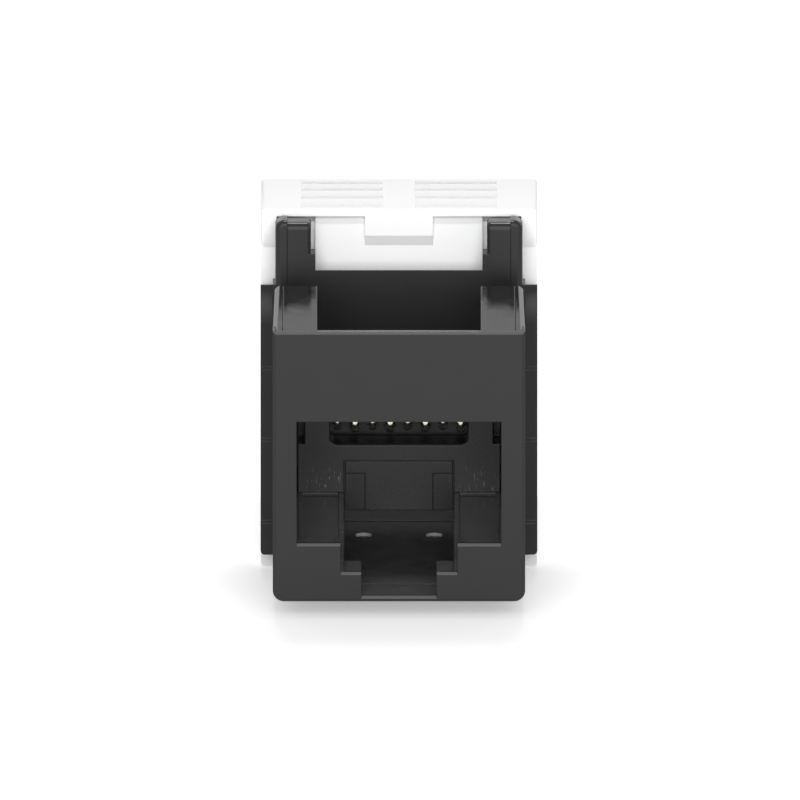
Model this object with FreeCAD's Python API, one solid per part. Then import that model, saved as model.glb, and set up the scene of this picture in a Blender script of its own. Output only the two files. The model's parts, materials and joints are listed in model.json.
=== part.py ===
"""Keystone jack for an eight-way modular plug, with a tool-free flip cap over its wiring side.

X is the width, +Y runs from the bezel to the cable side, +Z is up.  The functions below work in the
jack's own datum, with Y = 0 on the bezel's front face and Z = 0 on the bezel's lower edge.  Every
piece is moved to the part's frame on export: the origin is the middle of the closed jack's foot plane.
"""
import FreeCAD, Part
import math
import os

V = FreeCAD.Vector

# --- driving dimensions, mm -----------------------------------------------------------------------
BEZEL_W = 14.5            # width of the bezel, as the panel opening takes it
BEZEL_H = 16.05           # height of the bezel
BEZEL_T = 1.4             # thickness of the bezel's front wall
BROW_T = 0.45             # thickness of that wall between the latch legs
BEZEL_R = 0.65            # round of the bezel's lower corners
EDGE = 0.14               # bevel of the moulded front edges
FOOT = 1.05               # how far the lower lug and the feet stand below the bezel
ROOF_Z = 12.95            # top of the housing's roof over the circuit board
FLANGE_Y = 10.5           # front of the flange behind the panel groove
FLANGE_T = 1.4            # thickness of the flange
FLANGE_W = 15.9           # width of the flange
FLANGE_TOP = 15.7         # rear upper edge of the flange's side strips
ZONES = (1.86, 6.7, 10.9, 13.65)   # levels where a side strip steps back
ZONE_STEP = 0.15          # how far it steps back at each level
SWEEP_BOW = 0.3           # bow of the sweep above the last level
FLANGE_R = 0.25           # round of the flange's corners
CATCH_Y = 7.8             # rear face of the latch catches and of the lower lug
CATCH_Z = 16.76           # top of the latch catches
CATCH_ROUND = 0.3         # round of a catch's upper edge
GROOVE_Z = 15.6           # bottom of the panel groove on the latch legs
LEG_T = 1.15              # thickness of a latch leg
LEG_IN = 4.7              # inner side of a latch leg, from the middle
LEG_OUT = 7.08            # outer side of a latch leg at the flange, from the middle
LEG_GAP = 0.35            # gap between a leg's tail and the flange
LEG_DROP = 0.3            # how much thicker a leg is behind its root
HAUNCH_RUN = 1.2          # hollow curve under a leg's root: its length behind the bezel's wall
HAUNCH_TOP = 0.25         # its upper end, below the leg
HAUNCH_BOW = 0.35         # its middle, behind the wall
HAUNCH_MID = 0.6          # its middle, below the leg
HAUNCH_DEEP = 1.4         # its lower end, below the leg
LEG_BEVEL = 0.26          # bevel along a leg's outer upper edge
CREASE = 0.06             # width and depth of the crease beside that bevel
CREASE_X = 6.66           # where the crease runs, from the middle
HORN_Z = 19.7             # top of the two horns
HORN_IN = 5.05            # inner side of a horn
HORN_OUT = 7.1            # outer side of a horn
HORN_T = 1.2              # thickness of a horn
HORN_ROOT = 1.0           # how far the horns and their bar reach down into the flange
HORN_SIDE_R = 0.22        # round of a horn's inner upper edge
RIM_W = 0.68              # width of a horn's outer rim
RIM_UP = 0.14             # how far the rim stands over the horn
RIM_PROUD = 0.06          # how far it stands in front of the horn
RIM_R = 0.5               # round of its outer shoulder
RIM_FRONT_R = 0.3         # round of its upper front edge
HORN_R = 0.4              # round of a horn's upper front edge
CROSS_Z = 16.92           # front edge of the bar between the horns
CROSS_FALL = 0.36         # how far the bar's top falls to the rear
STEP_Z = 17.87            # top of the small step at a horn's inner side
STEP_IN = 4.8             # inner side of that step

PORT_W = 11.76            # plug opening
PORT_Z0 = 3.46            # floor of the plug opening
PORT_Z1 = 10.7            # lintel of the plug opening
PORT_D = 11.4             # depth of the plug opening
KEY_W = 6.71              # wide step of the key way
KEY_Z = 1.76              # floor of the wide step
TAB_W = 4.33              # narrow slot for the plug's tab
TAB_Z = 0.35              # floor of the narrow slot
TAB_WALL = 2.6            # thickness of the wall that holds the narrow slot
TAB_ROOM_W = 6.33         # width of the room behind that wall
TAB_ROOM_D = 16.5         # depth of that room
TAB_ROOM_UP = 0.05        # how much higher its floor lies than the slot's
MARK_R = 0.52             # ejector marks in that room: radius
MARK_X = 2.02             # from the middle
MARK_Y = 13.4             # from the bezel's face
MARK_DEEP = 0.2           # depth
POCKET_IN = 0.3           # shallow pockets in the side floors, from their sides
POCKET_DEEP = 0.12
TAIL_D = 17.4             # rear end of the housing's tail
TAIL_TOP = 10.6           # top of the tail
LUG_RAMP = 2.7            # start of the lower lug's ramp, before its rear face
LUG_FLAT = 0.8            # length of the lug's flat foot

BOARD_Z = 10.9            # underside of the circuit board
BOARD_T = 1.2             # thickness of the circuit board
BOARD_FRONT = 2.0         # front edge of the circuit board
BOARD_REAR = 24.3         # rear edge of the circuit board
BOARD_NARROW = 11.2       # width of the board inside the front housing
BOARD_SIDE = 0.33         # gap beside the board inside the rear housing
BOARD_GAP = 0.3           # gap between the board's wide part and the flange
BOARD_SLOT = 0.2          # how far the board's slot reaches below the plug opening's lintel

WIRE_D = 0.6              # contact wire
WIRE_PITCH = 1.016        # pitch of the eight contacts
WIRES = 8
WIRE_NOSE = 2.9           # front of the contact wires' bend
WIRE_RUN_Z = 10.55        # the wires' run under the board
WIRE_LOW_Z = 9.85         # where the low wires turn back
WIRE_STAGGER = 0.14       # how much higher every other wire lies
WIRE_SLOPE = 16.3         # slope of the spring run, degrees
WIRE_END = 13.2           # rear end of the spring run
WIRE_HOLE_Y = 6.4         # first row of their holes in the board
WIRE_HOLE_STEP = 1.6      # from that row to the second

CARRIER_W = 11.6          # contact carrier at the back of the plug opening
CARRIER_T = 1.8           # its front wall
CARRIER_SILL = 6.35       # sill of the window that the wires pass
SILL_BEVEL = 0.1          # bevel along that sill
CARRIER_WINDOW = 7.97     # width of that window
CORNER = 0.3              # round of its lower corners
CARRIER_POST = 1.42       # width of the posts beside the window
CARRIER_DEPTH = 2.9       # depth of the whole carrier
CARRIER_BACK = 0.6        # its rear wall
CARRIER_LIP = 2.41        # lower edge of the middle tongue
CARRIER_WALL = 1.0        # its side walls and its floor, round the wires' ends
CARRIER_FIT = 0.08        # gap beside the carrier
CARRIER_REAR = 0.1        # gap behind it
PANEL_Z = 5.27            # top of the sunk outline round the middle panel
PANEL_LINE = 0.09         # width and depth of that line
PAD_X = 1.95              # inner side of the panel's two sunk pads
PAD_Z = 4.6               # top of those pads

ROW_IN = 1.6              # middle of a row of terminals, from the side of their block
TERMINAL_T = 0.4          # thickness of a terminal's blade
TERMINAL_W = 2.1          # its width
TERMINAL_Z = 16.0         # its tip
TERMINAL_SLOT = 0.34      # slot between its two tines
TERMINAL_PITCH = 2.65
FORK_SINK = 0.5           # how far the slot's end lies below the plinth's top
FORK_MOUTH = 0.55         # half the width of the slot's funnel
FORK_FUNNEL = 0.5         # height of that funnel
TINE_DROP = 0.35          # height of the bevel on a tine's outer corner
TINE_IN = 0.2             # its width
PIN_HALF = 0.4            # half the width of a terminal's pin
PIN_OUT = 0.3             # how far a pin comes out under the board
TERMINAL_Y0 = 14.9        # first terminal of a row
TERMINALS_A_ROW = 4
BLOCK_Y0 = 13.4           # front of the terminal block
BLOCK_Y1 = 24.3           # rear of the terminal block
BLOCK_SIDE = 0.28         # gap beside the terminal block
BLOCK_Z = 14.2            # top of its two plinths
TROUGH_W = 6.2            # trough between the plinths
TROUGH_Z = 13.0           # floor of the trough
CORE_D = 1.1              # insulated core that lies across a plinth
CORE_UP = 0.15            # how far its middle lies above the plinth, and above the guide's lower face

SHELL_INSET = 0.02        # how far the rear housing and the cap stay inside the flange, a side
SHELL_T = 0.9             # side walls of the rear housing and of the cap
SHELL_R = 0.25            # round of the rear housing's lower edges
SHELL_TOP = 12.55         # top edge of the rear housing's sides
REAR_Y = 27.4             # rear face of the rear housing
REAR_T = 1.2              # rear wall
HINGE_Y = 26.6            # hinge of the flip cap
HINGE_Z = 12.6
PIN_R = 1.0               # hinge pin
PIN_BACK = 0.05           # how far a pin's end stands back from the cheek's face
KNUCKLE_R = 2.2           # round end of a cheek
KNUCKLE_GAP = 0.25        # gap round it
EAR_R = 2.0               # ear that carries a pin
EAR_T = 1.25              # thickness of an ear
EAR_GAP = 0.1             # gap between an ear and the cheek
RAIL_GAP = 0.55           # gap between the board's rails and the terminals' pins
RAIL_T = 1.0              # thickness of a rail at its free edge
RAIL_DEEP = 2.4           # thickness of a rail at the wall
CABLE_R = 3.1             # cable entry
SADDLE_TOP = 14.6         # top of the wall beside the cable entry
SADDLE_SIDE = 3.6         # width of that wall on each side
SADDLE_WALL = 0.9         # wall beside the cable in its cradle
SADDLE_BELLY = 1.4        # wall under it
SADDLE_STRAIGHT = 1.0     # straight upper part of the cradle's sides
SADDLE_GAP = 0.2          # gap between the board and the cradle

CAP_Z = 20.1              # top of the flip cap
CAP_LIP_Y = 12.0          # front of its lip
CAP_LIP_T = 0.6           # thickness of the lip
CAP_LIP_R = 0.2           # round of its upper front edge
CAP_LIP_BOW = 0.06        # how far the middle of that round stands in
CAP_LIP_FALL = 0.05       # how far its lower face rises to the front
CAP_LIP_RUN = 0.5         # length of the slope from the lip to the roof's inner face
CAP_LIP_Z = 19.72         # lower edge of the lip between the cheeks
CAP_T = 1.0               # thickness of its roof
CAP_BOW = 58.0            # radius of the gently bowed roof
CAP_BOW_Y = 13.5          # where the bow starts
CAP_BREAK_Y = 20.4        # where the roof turns down to the rear
CAP_REAR_Z = 16.95        # roof at the rear corner
CAP_REAR_R = 0.7          # round of the rear corner
CAP_REAR_T = 1.2          # thickness of the rear wall
CAP_SIDE_R = 0.2          # round of the roof's two side edges
CAP_NOSE_Z = 19.2         # where the lip starts to curve back
CAP_NOSE_R = 2.4          # radius of that curve
CAP_NOSE_DROP = 1.45      # height of that curve
CAP_REAR_WALL = 15.0      # lower edge of its rear wall
SEAM = 0.2                # seam between the cap's cheeks and the rear housing
SKIRT_W = 9.6             # front skirt between the horns
SKIRT_Y = 12.35           # its front face
SKIRT_Z = 16.3            # its lower edge
SKIRT_T = 0.9             # its thickness
SKIRT_BACK = 0.45         # how far the skirt's two ends, behind the horns, are set back
TAB_LIFT_W = 3.9          # lifting tab on the skirt
TAB_LIFT_Z = 18.57        # where its front face ends
TAB_LIFT_LOW = 17.9       # where its underside meets the skirt
GRIP_IN = 0.93            # grip teeth on the roof: inner end, from the middle
GRIP_OUT = 5.62           # outer end, from the middle
GRIP_Y = 12.62            # first tooth
GRIP_PITCH = 2.0
GRIP_UP = 0.13            # height of a tooth
GRIP_RUN = 1.5            # length of a tooth
GRIP_SINK = 0.3           # how far a tooth reaches into the roof
GRIPS = 4

GUIDE_TOP = 17.2          # wire guide inside the cap
GUIDE_GAP = 0.15          # gap between the guide and the plinths
GUIDE_Y0 = 13.6           # front of the guide
GUIDE_Y1 = 24.1           # rear of the guide
GUIDE_SIDE = 0.33         # gap beside the guide
GUIDE_WEB = 1.0           # web over its middle
BLADE_SIDE = 0.5          # half the width of its groove for a row of blades
BLADE_GAP = 0.4           # gap over the blades' tips

BARB_Y0 = 13.6            # barbs that lock the two housings
BARB_Y1 = 16.2
BARB_Z0 = 3.0
BARB_Z1 = 6.0
BARB_OUT = 0.75           # how far a barb stands out
BARB_GAP = 0.15           # gap round a barb in its window
BARB_REAR = 0.1           # gap behind a barb's thin end
PEG_R = 0.6               # pegs that place the terminal block on the board
PEG_Y = (15.1, 22.9)
RIB_IN = 0.8              # outer ribs under the cap's roof, from the side of the guide
RIB_HALF = 0.4            # half the thickness of a rib
RIB_FRONT = 0.4           # front of the ribs, behind the front of the guide
RIB_REAR = 2.2            # rear of the ribs, before the rear of the guide

FIT = 0.12                # clearance of pieces that slide into each other
PIN_FIT = 0.05            # radial clearance on pins and wires
LAP = 0.1                 # how far joined solids lie in each other
OVER = 1.0                # how far a cut reaches past the face that it opens
HAIR = 0.01               # least overlap, and least straight run between two bends

SHELL_W = FLANGE_W - 2 * SHELL_INSET
SHELL_IN = SHELL_W / 2 - SHELL_T
BOARD_WIDE = 2 * (SHELL_IN - BOARD_SIDE)
BLOCK_W = 2 * (SHELL_IN - BLOCK_SIDE)
GUIDE_W = 2 * (SHELL_IN - GUIDE_SIDE)
ROW_X = BLOCK_W / 2 - ROW_IN
RIB_X = GUIDE_W / 2 - RIB_IN
BOARD_TOP = BOARD_Z + BOARD_T
FLANGE_REAR = FLANGE_Y + FLANGE_T
DEPTH = HINGE_Y + KNUCKLE_R
ORIGIN = V(0, -DEPTH / 2, FOOT)


# --- helpers --------------------------------------------------------------------------------------
def block(x0, x1, y0, y1, z0, z1):
    """A box between two corners."""
    return Part.makeBox(x1 - x0, y1 - y0, z1 - z0, V(x0, y0, z0))


def middle_block(width, y0, y1, z0, z1):
    """A box centred on the jack's middle plane."""
    return block(-width / 2, width / 2, y0, y1, z0, z1)


def outline(steps, place):
    """A closed wire from points and (middle, end) pairs, which are arcs; place makes a 3-D point."""
    edges = []
    here = place(*steps[0])
    for step in steps[1:] + [steps[0]]:
        if isinstance(step[0], tuple):
            middle, there = place(*step[0]), place(*step[1])
            edges.append(Part.Arc(here, middle, there).toShape())
        else:
            there = place(*step)
            if here.distanceToPoint(there) > 1e-6:
                edges.append(Part.LineSegment(here, there).toShape())
        here = there
    return Part.Wire(edges)


def along_x(steps, x0, x1):
    """Extrude a Y-Z outline from x0 to x1."""
    wire = outline(steps, lambda y, z: V(x0, y, z))
    return Part.Face(wire).extrude(V(x1 - x0, 0, 0))


def along_y(steps, y0, y1):
    """Extrude an X-Z outline from y0 to y1."""
    wire = outline(steps, lambda x, z: V(x, y0, z))
    return Part.Face(wire).extrude(V(0, y1 - y0, 0))


def along_z(steps, z0, z1):
    """Extrude an X-Y outline from z0 to z1."""
    wire = outline(steps, lambda x, y: V(x, y, z0))
    return Part.Face(wire).extrude(V(0, 0, z1 - z0))


def rod_x(y, z, radius, x0, x1):
    """A cylinder along X."""
    return Part.makeCylinder(radius, x1 - x0, V(x0, y, z), V(1, 0, 0))


def mirrored(shape):
    """The same shape on the other side of the middle plane."""
    return shape.mirror(V(0, 0, 0), V(1, 0, 0))


def both_sides(shape):
    """The shape and its mirror image."""
    return [shape, mirrored(shape)]


def rounded(shape, radius, wanted):
    """Round the edges whose middle point satisfies wanted(point, direction)."""
    chosen = []
    for edge in shape.Edges:
        start, end = edge.Vertexes[0].Point, edge.Vertexes[-1].Point
        span = end - start
        if span.Length < 1e-6:
            continue
        if wanted((start + end) * 0.5, span.normalize()):
            chosen.append(edge)
    return shape.makeFillet(radius, chosen)


def near(a, b):
    """True for two lengths that are the same."""
    return abs(a - b) < 1e-4


def export(node, shape):
    """Write one node in the part's frame."""
    solid = shape.removeSplitter()
    solid.translate(ORIGIN)
    solid.exportStep("parts/" + node + ".step")
    return solid


# --- front housing --------------------------------------------------------------------------------
def bezel():
    """The front block with its rounded lower corners and bevelled front edges."""
    half = BEZEL_W / 2
    wall = middle_block(BEZEL_W, 0, BEZEL_T, 0, BEZEL_H)
    body = middle_block(BEZEL_W, 0, FLANGE_Y + LAP, 0, ROOF_Z)
    shape = wall.fuse(body).removeSplitter()
    shape = rounded(shape, BEZEL_R, lambda p, d: abs(d.y) > 0.99 and near(p.z, 0) and near(abs(p.x), half))
    front = [e for e in shape.Faces if near(e.CenterOfMass.y, 0)][0]
    return shape.makeChamfer(EDGE, front.OuterWire.Edges)


def latch_leg():
    """One cantilever leg of the panel latch: ramp, catch and tail."""
    root = BEZEL_T / 2
    tail = FLANGE_Y - LEG_GAP
    under = BEZEL_H - LEG_T
    bow = nook(CATCH_ROUND)
    side = [(EDGE, BEZEL_H - EDGE), (EDGE, BEZEL_H), (CATCH_Y - CATCH_ROUND, CATCH_Z),
            ((CATCH_Y - bow, CATCH_Z - bow), (CATCH_Y, CATCH_Z - CATCH_ROUND)), (CATCH_Y, GROOVE_Z),
            (tail, GROOVE_Z), (tail, under - LEG_DROP), (CATCH_Y, under - LEG_DROP),
            (BEZEL_T + HAUNCH_RUN, under - HAUNCH_TOP),
            ((BEZEL_T + HAUNCH_BOW, under - HAUNCH_MID), (BEZEL_T, under - HAUNCH_DEEP)),
            (root, under - HAUNCH_DEEP), (root, BEZEL_H - EDGE)]
    leg = along_x(side, LEG_IN, BEZEL_W / 2)
    flare = BEZEL_W / 2
    plan = [(LEG_IN, 0), (flare, 0), (flare, 2 * EDGE), (LEG_OUT, FLANGE_Y), (LEG_IN, FLANGE_Y)]
    leg = leg.common(along_z(plan, 0, CATCH_Z + OVER))
    crease = along_x([(2 * EDGE, BEZEL_H - CREASE), (CATCH_Y, CATCH_Z - CREASE),
                      (CATCH_Y, CATCH_Z + OVER), (2 * EDGE, CATCH_Z + OVER)], CREASE_X, CREASE_X + CREASE)
    return leg.cut([crease, leg_shoulder()])


def leg_shoulder():
    """The wedge taken off a leg's outer upper edge, along the ramp."""
    rise = (CATCH_Z - BEZEL_H) / (CATCH_Y - CATCH_ROUND - EDGE)
    narrow = (BEZEL_W / 2 - LEG_OUT) / (FLANGE_Y - 2 * EDGE)
    x, y, z = BEZEL_W / 2, 2 * EDGE, BEZEL_H + rise * EDGE
    section = outline([(x - LEG_BEVEL, z), (x, z - LEG_BEVEL), (x + OVER, z - LEG_BEVEL),
                       (x + OVER, z + OVER), (x - LEG_BEVEL, z + OVER)], lambda a, b: V(a, y, b))
    run = CATCH_Y + EDGE - y
    return Part.Face(section).extrude(V(-narrow * run, run, rise * run))


def nook(radius):
    """How far the middle of a quarter round stands in from each of the corner's two sides."""
    return radius * (1 - math.sqrt(0.5))


def rounded_rectangle(x0, x1, z0, z1, low, high):
    """Steps of a rectangle with its lower corners rounded by low and its upper ones by high."""
    a, b = nook(low), nook(high)
    return [(x0, z0 + low), ((x0 + a, z0 + a), (x0 + low, z0)), (x1 - low, z0),
            ((x1 - a, z0 + a), (x1, z0 + low)), (x1, z1 - high), ((x1 - b, z1 - b), (x1 - high, z1)),
            (x0 + high, z1), ((x0 + b, z1 - b), (x0, z1 - high))]


def flange():
    """The wall behind the panel groove, with the horns, their cross bar and the foot below."""
    half = FLANGE_W / 2
    wall = along_y(rounded_rectangle(-half, half, 0, BEZEL_H, FLANGE_R, FLANGE_R), FLANGE_Y, FLANGE_REAR)
    bar = along_x([(FLANGE_Y, BEZEL_H - HORN_ROOT), (FLANGE_Y + HORN_T, BEZEL_H - HORN_ROOT),
                   (FLANGE_Y + HORN_T, CROSS_Z - CROSS_FALL), (FLANGE_Y, CROSS_Z)], -HORN_IN, HORN_IN)
    foot = middle_block(2 * HORN_IN, FLANGE_Y, FLANGE_REAR, -FOOT, LAP)
    shape = wall.fuse([bar, foot])
    for horn in both_sides(horn_right()):
        shape = shape.fuse(horn)
    return shape


def horn_right():
    """One horn: web, outer rim and inner step."""
    y1 = FLANGE_Y + HORN_T
    web = block(HORN_IN, HORN_OUT - LAP, FLANGE_Y, y1, BEZEL_H - HORN_ROOT, HORN_Z)
    web = rounded(web, HORN_R, lambda p, d: abs(d.x) > 0.99 and near(p.z, HORN_Z) and near(p.y, FLANGE_Y))
    web = rounded(web, HORN_SIDE_R, lambda p, d: abs(d.y) > 0.9 and near(p.z, HORN_Z) and near(p.x, HORN_IN))
    top = HORN_Z + RIM_UP
    rim = block(HORN_OUT - RIM_W, HORN_OUT, FLANGE_Y - RIM_PROUD, y1, BEZEL_H - HORN_ROOT, top)
    rim = rounded(rim, RIM_R, lambda p, d: abs(d.y) > 0.99 and near(p.z, top) and near(p.x, HORN_OUT))
    rim = rounded(rim, RIM_FRONT_R, lambda p, d: near(p.y, FLANGE_Y - RIM_PROUD) and p.z > top - RIM_R - LAP)
    step = block(STEP_IN, HORN_IN + 2 * LAP, FLANGE_Y, y1, BEZEL_H - HORN_ROOT, STEP_Z)
    return web.fuse([rim, step])


def flange_steps():
    """What is taken off the flange's two side strips: they step back upwards, and the top sweeps to the rear."""
    front = FLANGE_Y - OVER
    x0, x1 = BEZEL_W / 2, FLANGE_W / 2 + OVER
    profile = [(front, ZONES[0])]
    for count, level in enumerate(ZONES):
        profile.append((FLANGE_Y + count * ZONE_STEP, level))
        profile.append((FLANGE_Y + (count + 1) * ZONE_STEP, level + ZONE_STEP))
    start, top = profile.pop(), FLANGE_REAR - ZONE_STEP
    middle = ((start[0] + top) / 2 - SWEEP_BOW, (ZONES[-1] + FLANGE_TOP) / 2)
    profile += [(middle, (top, FLANGE_TOP)), (FLANGE_REAR + OVER, FLANGE_TOP),
                (FLANGE_REAR + OVER, BEZEL_H + OVER), (front, BEZEL_H + OVER)]
    return both_sides(along_x(profile, x0, x1))


def tail():
    """The part of the front housing that reaches into the rear housing, with its two barbs."""
    half = SHELL_IN - FIT
    shape = block(-half, half, FLANGE_REAR - LAP, TAIL_D, FIT, TAIL_TOP)
    barb = along_z([(half - LAP, BARB_Y0), (half + BARB_OUT, BARB_Y0), (half, BARB_Y1), (half - LAP, BARB_Y1)],
                   BARB_Z0, BARB_Z1)
    return shape.fuse(both_sides(barb))


def port_cuts():
    """The plug opening with its key way, the tab's room, the board slot and the room over the wires."""
    front = -OVER
    tab_floor = TAB_Z + TAB_ROOM_UP
    cuts = [middle_block(PORT_W, front, PORT_D, PORT_Z0, PORT_Z1),
            middle_block(2 * LEG_IN, BROW_T, BEZEL_T + LAP, ROOF_Z, BEZEL_H + OVER),
            middle_block(KEY_W, front, TAB_WALL, KEY_Z, PORT_Z0 + LAP),
            middle_block(TAB_W, front, TAB_WALL, TAB_Z, KEY_Z + LAP),
            middle_block(TAB_ROOM_W, TAB_WALL - HAIR, TAB_ROOM_D, tab_floor, PORT_Z0 + LAP),
            middle_block(CARRIER_W + 2 * CARRIER_FIT, PORT_D - LAP, PORT_D + CARRIER_DEPTH + CARRIER_REAR, PORT_Z0,
                         TAIL_TOP + OVER),
            middle_block(BOARD_NARROW + 2 * FIT, BOARD_FRONT - FIT, TAIL_D + OVER, PORT_Z1 - BOARD_SLOT,
                         BOARD_TOP + FIT)]
    for side in (-1, 1):
        inner, outer = sorted((side * (TAB_ROOM_W / 2 + POCKET_IN), side * (PORT_W / 2 - POCKET_IN)))
        cuts.append(block(inner, outer, BEZEL_T, PORT_D, PORT_Z0 - POCKET_DEEP, PORT_Z0 + LAP))
        cuts.append(Part.makeCylinder(MARK_R, OVER, V(side * MARK_X, MARK_Y, tab_floor - MARK_DEEP)))
    for half, other, z in ((PORT_W / 2, KEY_W / 2, PORT_Z0), (KEY_W / 2, TAB_W / 2, KEY_Z), (TAB_W / 2, 0, TAB_Z)):
        cuts += both_sides(along_x([(front, z - EDGE - OVER), (0, z - EDGE), (EDGE, z), (front, z)], other, half))
    return cuts


def lug():
    """The fixed lug under the bezel: a ramp, a flat foot and the steep face that holds the panel's edge."""
    side = [(CATCH_Y - LUG_RAMP, LAP), (CATCH_Y - LUG_RAMP, 0), (CATCH_Y - LUG_FLAT, -FOOT), (CATCH_Y, -FOOT),
            (CATCH_Y, LAP)]
    return along_x(side, -HORN_IN, HORN_IN)


def front_housing():
    """The black front moulding: bezel, plug opening, latch, flange with horns, lug and tail."""
    shape = bezel().fuse([flange(), tail(), lug()])
    for leg in both_sides(latch_leg()):
        shape = shape.fuse(leg)
    return shape.cut(flange_steps()).cut(port_cuts())


# --- contacts, their carrier and the board ---------------------------------------------------------
def contact_carrier():
    """The moulding at the back of the plug opening: a sill, two posts and a box behind for the wire ends."""
    half = CARRIER_W / 2
    y0, y1 = PORT_D, PORT_D + CARRIER_DEPTH
    shape = block(-half, half, y0, y1, PORT_Z0, BOARD_Z)
    tongue = middle_block(TAB_ROOM_W - 2 * PIN_FIT, y0, y0 + CARRIER_T, CARRIER_LIP, PORT_Z0 + LAP)
    opening = CARRIER_WINDOW / 2
    window = along_y(rounded_rectangle(-opening, opening, CARRIER_SILL, BOARD_Z + OVER, CORNER, CORNER),
                     y0 - OVER, y1 - CARRIER_BACK)
    sides = opening + CARRIER_POST
    slope = along_x([(y0 - OVER, CARRIER_SILL - SILL_BEVEL), (y0, CARRIER_SILL - SILL_BEVEL),
                     (y0 + SILL_BEVEL, CARRIER_SILL), (y0 + SILL_BEVEL, CARRIER_SILL + OVER),
                     (y0 - OVER, CARRIER_SILL + OVER)], -opening + CORNER, opening - CORNER)
    room = middle_block(CARRIER_W - 2 * CARRIER_WALL, y0 + CARRIER_T, y1 - CARRIER_BACK, PORT_Z0 + CARRIER_WALL,
                        CARRIER_SILL + LAP)
    shape = shape.fuse(tongue).cut([window, room, slope])
    shape = shape.cut(both_sides(block(sides, half + OVER, y0 - OVER, y0 + CARRIER_T, CARRIER_SILL,
                                       BOARD_Z + OVER)))
    frame = TAB_ROOM_W / 2
    grooves = [middle_block(2 * frame, y0 - OVER, y0 + PANEL_LINE, PANEL_Z, PANEL_Z + PANEL_LINE)]
    grooves += both_sides(block(frame - PANEL_LINE, frame, y0 - OVER, y0 + PANEL_LINE, PORT_Z0, PANEL_Z))
    grooves += both_sides(block(PAD_X, frame, y0 - OVER, y0 + PANEL_LINE / 2, CARRIER_LIP, PAD_Z))
    return shape.cut(grooves)


def bent_rod(points, radius, bend):
    """A round rod in a Y-Z plane: straight runs between the points, joined by tangent round bends."""
    pieces = []
    here = points[0]
    for before, corner, after in zip(points, points[1:], points[2:]):
        into, out = (corner - before).normalize(), (after - corner).normalize()
        turn = into.getAngle(out)
        back = bend * math.tan(turn / 2)
        start = corner - into * back
        axis = into.cross(out).normalize()
        centre = start + axis.cross(into) * bend
        pieces.append(Part.makeCylinder(radius, start.distanceToPoint(here), here, into))
        section = Part.Face(Part.Wire(Part.makeCircle(radius, start, into)))
        pieces.append(section.revolve(centre, axis, math.degrees(turn)))
        here = corner + out * back
    last = points[-1] - here
    pieces.append(Part.makeCylinder(radius, last.Length, here, last))
    return pieces[0].fuse(pieces[1:])


def wire_x(index):
    """Middle of one contact wire, from the middle plane."""
    return (index - (WIRES - 1) / 2) * WIRE_PITCH


def wire_hole_y(index):
    """Where a contact wire enters the board: two staggered rows."""
    return WIRE_HOLE_Y + WIRE_HOLE_STEP * (index % 2)


def contact_wire(index):
    """One sprung contact: out of the board, forward under it, round the nose and back down to its end."""
    x = wire_x(index)
    up = WIRE_STAGGER * ((index + 1) % 2)
    low = WIRE_LOW_Z + up
    run = WIRE_END - WIRE_NOSE
    end = low - run * math.tan(math.radians(WIRE_SLOPE))
    hole = wire_hole_y(index)
    points = [V(x, hole, BOARD_TOP), V(x, hole, WIRE_RUN_Z), V(x, WIRE_NOSE, WIRE_RUN_Z),
              V(x, WIRE_NOSE, low), V(x, WIRE_END, end)]
    turn = math.radians(90 - WIRE_SLOPE)
    bend = (WIRE_RUN_Z - low - HAIR) / (1 + math.tan(turn / 2))
    return bent_rod(points, WIRE_D / 2, bend)


def terminal_y(index):
    """Middle of one terminal along its row."""
    return TERMINAL_Y0 + TERMINAL_PITCH * (index % TERMINALS_A_ROW)


def terminal_side(index):
    """-1 for the left row, 1 for the right one."""
    return -1 if index < TERMINALS_A_ROW else 1


def terminal_blade(index, spare):
    """The plain blade of a terminal, larger all round by spare."""
    x, y = terminal_side(index) * ROW_X, terminal_y(index)
    dx, dy = TERMINAL_T / 2 + spare, TERMINAL_W / 2 + spare
    return block(x - dx, x + dx, y - dy, y + dy, BOARD_TOP, TERMINAL_Z)


def terminal_pin(index, spare):
    """The part of a terminal that goes through the board."""
    x, y = terminal_side(index) * ROW_X, terminal_y(index)
    dx, dy = TERMINAL_T / 2 + spare, PIN_HALF + spare
    return block(x - dx, x + dx, y - dy, y + dy, BOARD_Z - PIN_OUT, BOARD_TOP + LAP)


def idc_terminal(index):
    """One insulation-displacement blade with its fork slot and its pin."""
    y = terminal_y(index)
    shape = terminal_blade(index, 0).fuse(terminal_pin(index, 0))
    x0, x1 = sorted((terminal_side(index) * (ROW_X - OVER), terminal_side(index) * (ROW_X + OVER)))
    slot, end, funnel, tip = TERMINAL_SLOT / 2, BLOCK_Z - FORK_SINK, TERMINAL_Z - FORK_FUNNEL, TERMINAL_Z + HAIR
    fork = [(y - slot, end), ((y, end - slot), (y + slot, end)), (y + slot, funnel), (y + FORK_MOUTH, tip),
            (y - FORK_MOUTH, tip), (y - slot, funnel)]
    shape = shape.cut(along_x(fork, x0, x1))
    edge = TERMINAL_W / 2
    for side in (-1, 1):
        corner = [(y + side * edge, TERMINAL_Z - TINE_DROP), (y + side * edge, tip),
                  (y + side * (edge - TINE_IN), tip)]
        shape = shape.cut(along_x(corner, x0, x1))
    return shape


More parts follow.
